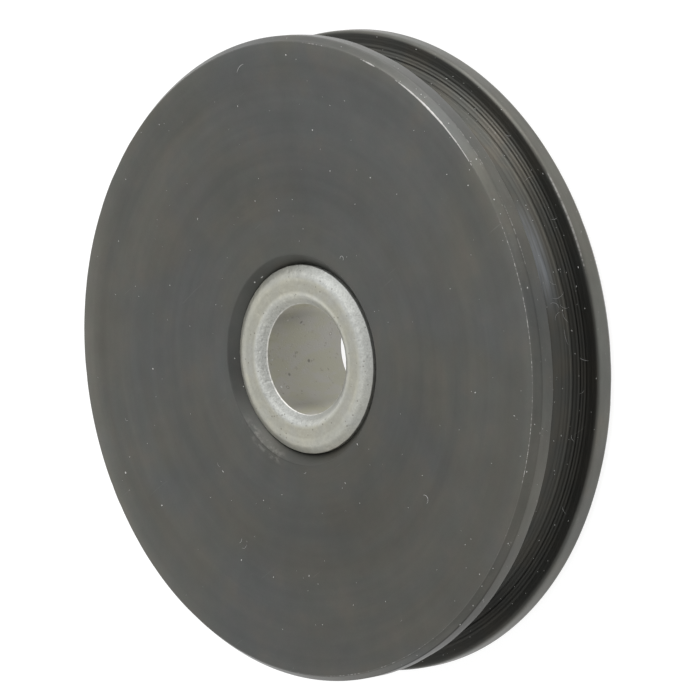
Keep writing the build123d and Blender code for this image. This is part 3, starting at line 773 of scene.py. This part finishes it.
    # the mouth's edge is burnished thin and bright, and carries a painted edge glint
    rim_n = n.noise(n.vec(m("MULTIPLY", n.cx, 8.0), m("MULTIPLY", n.cy, 8.0), 0.0), 1.4, 2.0)
    rim_d = m("SQRT", m("ADD", m("POWER", m("SUBTRACT", r, 7.99), 2.0), m("POWER", m("SUBTRACT", z, 6.80), 2.0)))
    bore_edge_glint = m("MULTIPLY", n.band(rim_d, 0.05, 0.14, 1.0, 0.0), n.band(rim_n, 0.36, 0.56, 0.45, 0.9))
    col = n.mix(bore_edge_glint, col, (0.70, 0.69, 0.65))
    n.set("Base Color", col)
    n.bsdf.inputs["Metallic"].default_value = 0.6
    rg = m("MULTIPLY_ADD", m("SUBTRACT", cloud, 0.5), 0.16, 0.44)
    rg = m("ADD", rg, m("MULTIPLY", pits, 0.25))
    rg = n.lerp(in_bore, rg, 0.42)
    n.set("Roughness", rg)
    b1 = n.bump(n.noise(n.p, 3.4, 4.0, 0.65), 0.030, 0.55)
    b2 = n.bump(m("MULTIPLY", pits, -1.0), 0.05, 0.6, b1)
    b3 = n.bump(streak, 0.02, 0.3, b2)
    n.set("Normal", b3)
    return n.mat


def dusty(name, c1, c2):
    n = Nodes(name)
    n.set("Base Color", n.mix(n.noise(n.p, 1.3, 2.0), c1, c2))
    n.bsdf.inputs["Roughness"].default_value = 0.9
    n.set("Normal", n.bump(n.noise(n.p, 14.0, 2.0), 0.01, 0.6))
    return n.mat


steel = blackened()
metal = bush_metal()
dust_mat = dusty("pale_dust", (0.62, 0.62, 0.60), (0.34, 0.34, 0.33))
lint_mat = dusty("pale_lint", (0.50, 0.50, 0.49), (0.34, 0.34, 0.34))
for ob, mt in ((sheave, steel), (bushing, metal), (dust, dust_mat), (lint, lint_mat)):
    ob.data.materials.append(mt)
for name, mt in (("sheave", steel), ("bushing", metal)):
    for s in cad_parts[name].material_slots:
        s.material = mt

for ob in (sheave, bushing, dust, lint):
    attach(ob, "root")
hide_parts("sheave")
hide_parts("bushing")


# ---- floor ---------------------------------------------------------------------
floor = make_mesh("floor", np.array([(-3, -3, 0), (3, -3, 0), (3, 3, 0), (-3, 3, 0)], dtype=float) + np.array([0, 0, -H * MM]), np.array([(0, 1, 2, 3)]))
fl = Nodes("studio_floor")
fl.set("Base Color", fl.mix(fl.noise(fl.p, 0.004, 2.0), (0.24, 0.24, 0.24), (0.26, 0.26, 0.26)))
fl.bsdf.inputs["Roughness"].default_value = 0.85
fl.bsdf.inputs["Specular IOR Level"].default_value = 0.0
fl.bsdf.inputs["Emission Color"].default_value = (1.0, 1.0, 1.0, 1.0)     # a light table: it keeps the shadows pale
fl.bsdf.inputs["Emission Strength"].default_value = 0.86
floor.data.materials.append(fl.mat)


# ---- light -----------------------------------------------------------------------
world = bpy.data.worlds.new("studio")
bpy.context.scene.world = world
world.use_nodes = True
wt = world.node_tree
wt.nodes.clear()
wo = wt.nodes.new("ShaderNodeOutputWorld"); bg = wt.nodes.new("ShaderNodeBackground")
wtc = wt.nodes.new("ShaderNodeTexCoord")


def w_link(sock, v):
    if isinstance(v, (int, float)):
        sock.default_value = v
    else:
        wt.links.new(v, sock)


def w_math(op, a, b):
    q = wt.nodes.new("ShaderNodeMath"); q.operation = op
    w_link(q.inputs[0], a); w_link(q.inputs[1], b)
    return q.outputs[0]


def w_lobe(direction, far, near, amount):
    """Adds a soft patch of light round a direction; far and near are the edges, in degrees."""
    d = np.array(direction, dtype=float); d /= np.linalg.norm(d)
    dot = wt.nodes.new("ShaderNodeVectorMath"); dot.operation = "DOT_PRODUCT"
    wt.links.new(wtc.outputs["Generated"], dot.inputs[0]); dot.inputs[1].default_value = tuple(float(v) for v in d)
    mr = wt.nodes.new("ShaderNodeMapRange"); mr.interpolation_type = "SMOOTHSTEP"
    wt.links.new(dot.outputs["Value"], mr.inputs[0])
    mr.inputs[1].default_value = cos(rad(far)); mr.inputs[2].default_value = cos(rad(near))
    mr.inputs[3].default_value = 0.0; mr.inputs[4].default_value = amount
    return mr.outputs[0]


# a wide soft key with a hotter middle, a low side light, a paler zenith and two dimmer sides
sky = w_math("ADD", 0.92, w_lobe((0.75, 0.02, 0.66), 50, 10, 0.85))
for where in (((0.72, 0.0, 0.69), 20, 3, 0.80), ((0.95, -0.20, 0.22), 35, 10, 1.25), ((0.10, 0.0, 1.0), 42, 0, 0.20), ((-1.0, 0.05, 0.0), 44, 12, -0.32), ((0.0, -0.96, 0.29), 45, 15, -0.20)):
    sky = w_math("ADD", sky, w_lobe(*where))
bg.inputs[0].default_value = (1.0, 1.0, 1.0, 1.0)
wt.links.new(sky, bg.inputs[1])
wt.links.new(bg.outputs[0], wo.inputs[0])


# ---- camera ------------------------------------------------------------------------
# Lens, place and roll that put the flat-lying sheave where the picture shows it.
cam_data = bpy.data.cameras.new("camera")
cam_data.sensor_fit = "HORIZONTAL"; cam_data.sensor_width = 36.0; cam_data.lens = 343.42
cam_data.clip_start = 0.05; cam_data.clip_end = 20.0
cam = bpy.data.objects.new("camera", cam_data)
bpy.context.scene.collection.objects.link(cam)
right = np.array((-0.134399, -0.694687, -0.706645)); upv = np.array((0.990927, -0.094573, -0.095496)); bk = np.array((-0.000489, -0.713068, 0.701095))
pos = (0.0, -0.680187, 0.666755)
cam.matrix_world = Matrix([[right[0], upv[0], bk[0], pos[0]], [right[1], upv[1], bk[1], pos[1]], [right[2], upv[2], bk[2], pos[2]], [0, 0, 0, 1]])
bpy.context.scene.camera = cam
bpy.context.scene.view_settings.view_transform = "Standard"
bpy.context.scene.view_settings.look = "None"

print("triangles", {o.name: sum(len(p.vertices) - 2 for p in o.data.polygons) for o in (sheave, bushing, dust, lint)})
